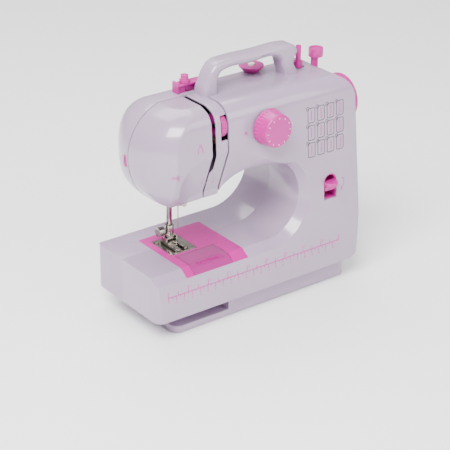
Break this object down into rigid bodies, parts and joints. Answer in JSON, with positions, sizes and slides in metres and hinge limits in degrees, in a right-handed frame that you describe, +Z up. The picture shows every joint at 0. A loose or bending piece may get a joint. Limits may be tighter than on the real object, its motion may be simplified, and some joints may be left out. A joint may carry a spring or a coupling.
{
  "type": "sewing machine",
  "caption": "Small free-arm household sewing machine with carrying handle, handwheel, stitch dial, reverse lever, needle bar, presser foot, hook with bobbin and belt drive.",
  "frame": {"origin": "on the table, at the centre of the footprint box", "axes": "+X to the handwheel side, +Y to the back, +Z up"},
  "size_m": [0.283, 0.122, 0.2722],
  "materials": {
    "shell": "gloss",
    "pink": "gloss",
    "plated": "polished",
    "steel": "satin",
    "cast": "as cast",
    "sintered": "satin",
    "engineering_plastic": "matt",
    "black_plastic": "matt",
    "rubber": "matt",
    "clear_cover": "clear gloss",
    "board": "matt",
    "lamp_lens": "clear"
  },
  "bodies": {
    "machine": {"base_plinth": "shell", "bed_plate": "pink", "bobbin_case": "black_plastic", "cam_bracket": "engineering_plastic", "carry_handle": "shell", "circuit_board": "board", "drive_belts": "rubber", "front_housing": "shell", "head_cover": "shell", "head_frame": "cast", "hook_race": "cast", "housing_screws": "steel", "inlet_sockets": "black_plastic", "lever_window": "pink", "lower_bushes": "sintered", "main_shaft_bushes": "sintered", "motor": "steel", "needle_lamp": "lamp_lens", "needle_plate": "plated", "needle_plate_screws": "plated", "presser_spring": "steel", "pretension_knob": "pink", "rear_housing": "shell", "rubber_feet": "rubber", "spool_holder": "pink", "switch_frames": "black_plastic", "tension_cover": "shell", "tension_spindle": "steel", "thread_cutter": "pink", "upper_thread_guide": "pink"},
    "drive": {"main_shaft": "steel", "drive_pulley": "cast", "handwheel": "pink"},
    "rotor": {"motor_pulley": "steel"},
    "lower_drive": {"lower_shaft": "steel"},
    "hook": {"rotating_hook": "steel"},
    "bobbin_spool": {"bobbin": "engineering_plastic"},
    "needle_carrier": {"needle_bar": "plated", "needle_clamp": "plated", "needle_clamp_screw": "plated", "needle": "plated", "needle_thread_guide": "plated"},
    "take_up": {"take_up_lever": "plated"},
    "feed": {"feed_dog": "steel"},
    "lifter": {"presser_lifter": "engineering_plastic"},
    "presser": {"presser_bar": "plated", "presser_ankle": "plated", "presser_thumb_screw": "plated"},
    "foot": {"presser_foot": "plated"},
    "bobbin_lid": {"bobbin_cover": "clear_cover"},
    "stitch_selector": {"stitch_dial": "pink", "stitch_cam": "engineering_plastic"},
    "tension": {"tension_wheel": "pink"},
    "reverse": {"reverse_lever": "pink"},
    "winder_base": {"winder_slide": "engineering_plastic"},
    "winder": {"winder_spindle": "pink"},
    "stopper": {"winder_stopper": "pink"},
    "spool": {"spool_pin": "engineering_plastic"},
    "power_rocker": {"power_switch": "black_plastic"},
    "speed_rocker": {"speed_switch": "black_plastic"}
  },
  "joints": [
    {"name": "handwheel_turn", "type": "hinge", "parent": "machine", "child": "drive", "pos_m": [0, -0.002, 0.195], "axis": [1, 0, 0], "continuous": true},
    {"name": "motor_turn", "type": "hinge", "parent": "machine", "child": "rotor", "pos_m": [0.068, 0.03, 0.05], "axis": [1, 0, 0], "continuous": true},
    {"name": "lower_shaft_turn", "type": "hinge", "parent": "machine", "child": "lower_drive", "pos_m": [0, -0.002, 0.0405], "axis": [1, 0, 0], "continuous": true},
    {"name": "hook_turn", "type": "hinge", "parent": "machine", "child": "hook", "pos_m": [-0.074, -0.021, 0.05], "axis": [0, 0, 1], "continuous": true},
    {"name": "bobbin_turn", "type": "hinge", "parent": "machine", "child": "bobbin_spool", "pos_m": [-0.074, -0.021, 0.06], "axis": [0, 0, 1], "continuous": true},
    {"name": "needle_stroke", "type": "slide", "parent": "machine", "child": "needle_carrier", "axis": [0, 0, 1], "range_m": [-0.03, 0]},
    {"name": "take_up_swing", "type": "hinge", "parent": "machine", "child": "take_up", "pos_m": [-0.0625, 0.008, 0.178], "axis": [1, 0, 0], "range_deg": [0, 18]},
    {"name": "feed_travel", "type": "slide", "parent": "machine", "child": "feed", "axis": [0, 1, 0], "range_m": [-0.0015, 0.0015]},
    {"name": "presser_lifter_swing", "type": "hinge", "parent": "machine", "child": "lifter", "pos_m": [-0.0785, 0.027, 0.158], "axis": [1, 0, 0], "range_deg": [0, 25]},
    {"name": "presser_lift", "type": "slide", "parent": "machine", "child": "presser", "axis": [0, 0, 1], "range_m": [0, 0.006], "deforming": ["presser_spring"]},
    {"name": "foot_tilt", "type": "hinge", "parent": "presser", "child": "foot", "pos_m": [-0.0785, 0.015, 0.0795], "axis": [1, 0, 0], "range_deg": [-5, 1.2]},
    {"name": "bobbin_cover_slide", "type": "slide", "parent": "machine", "child": "bobbin_lid", "axis": [0, -1, 0], "range_m": [0, 0.03]},
    {"name": "stitch_dial_turn", "type": "hinge", "parent": "machine", "child": "stitch_selector", "pos_m": [0.0045, -0.04, 0.206], "axis": [0, -1, 0], "continuous": true},
    {"name": "tension_wheel_turn", "type": "hinge", "parent": "machine", "child": "tension", "pos_m": [-0.05, -0.0285, 0.216], "axis": [1, 0, 0], "range_deg": [-160, 160]},
    {"name": "reverse_press", "type": "slide", "parent": "machine", "child": "reverse", "axis": [0, 0, -1], "range_m": [0, 0.008], "stiffness_N_per_m": 120, "springref_m": -0.004},
    {"name": "winder_engage", "type": "slide", "parent": "machine", "child": "winder_base", "axis": [1, 0, 0], "range_m": [0, 0.005]},
    {"name": "winder_turn", "type": "hinge", "parent": "winder_base", "child": "winder", "pos_m": [0.084, 0.0075, 0.24], "axis": [0, 0, 1], "continuous": true},
    {"name": "stopper_turn", "type": "hinge", "parent": "machine", "child": "stopper", "pos_m": [0.107, 0.0075, 0.24], "axis": [0, 0, 1], "range_deg": [-90, 90]},
    {"name": "spool_pin_raise", "type": "slide", "parent": "machine", "child": "spool", "axis": [0, 0, 1], "range_m": [0, 0.032]},
    {"name": "power_rock", "type": "hinge", "parent": "machine", "child": "power_rocker", "pos_m": [0.1259, 0.036, 0.11], "axis": [0, 1, 0], "range_deg": [-4, 4]},
    {"name": "speed_rock", "type": "hinge", "parent": "machine", "child": "speed_rocker", "pos_m": [0.12708, 0.036, 0.082], "axis": [0, 1, 0], "range_deg": [-4, 4]}
  ],
  "couplings": [
    {"joint": "motor_turn", "follows": "handwheel_turn", "ratio": 5},
    {"joint": "lower_shaft_turn", "follows": "handwheel_turn", "ratio": 1},
    {"joint": "hook_turn", "follows": "handwheel_turn", "ratio": 0.8},
    {"joint": "take_up_swing", "follows": "needle_stroke", "rad_per_m": -10.414},
    {"joint": "feed_travel", "follows": "needle_stroke", "ratio": 0.045},
    {"joint": "presser_lifter_swing", "follows": "presser_lift", "rad_per_m": 72}
  ]
}
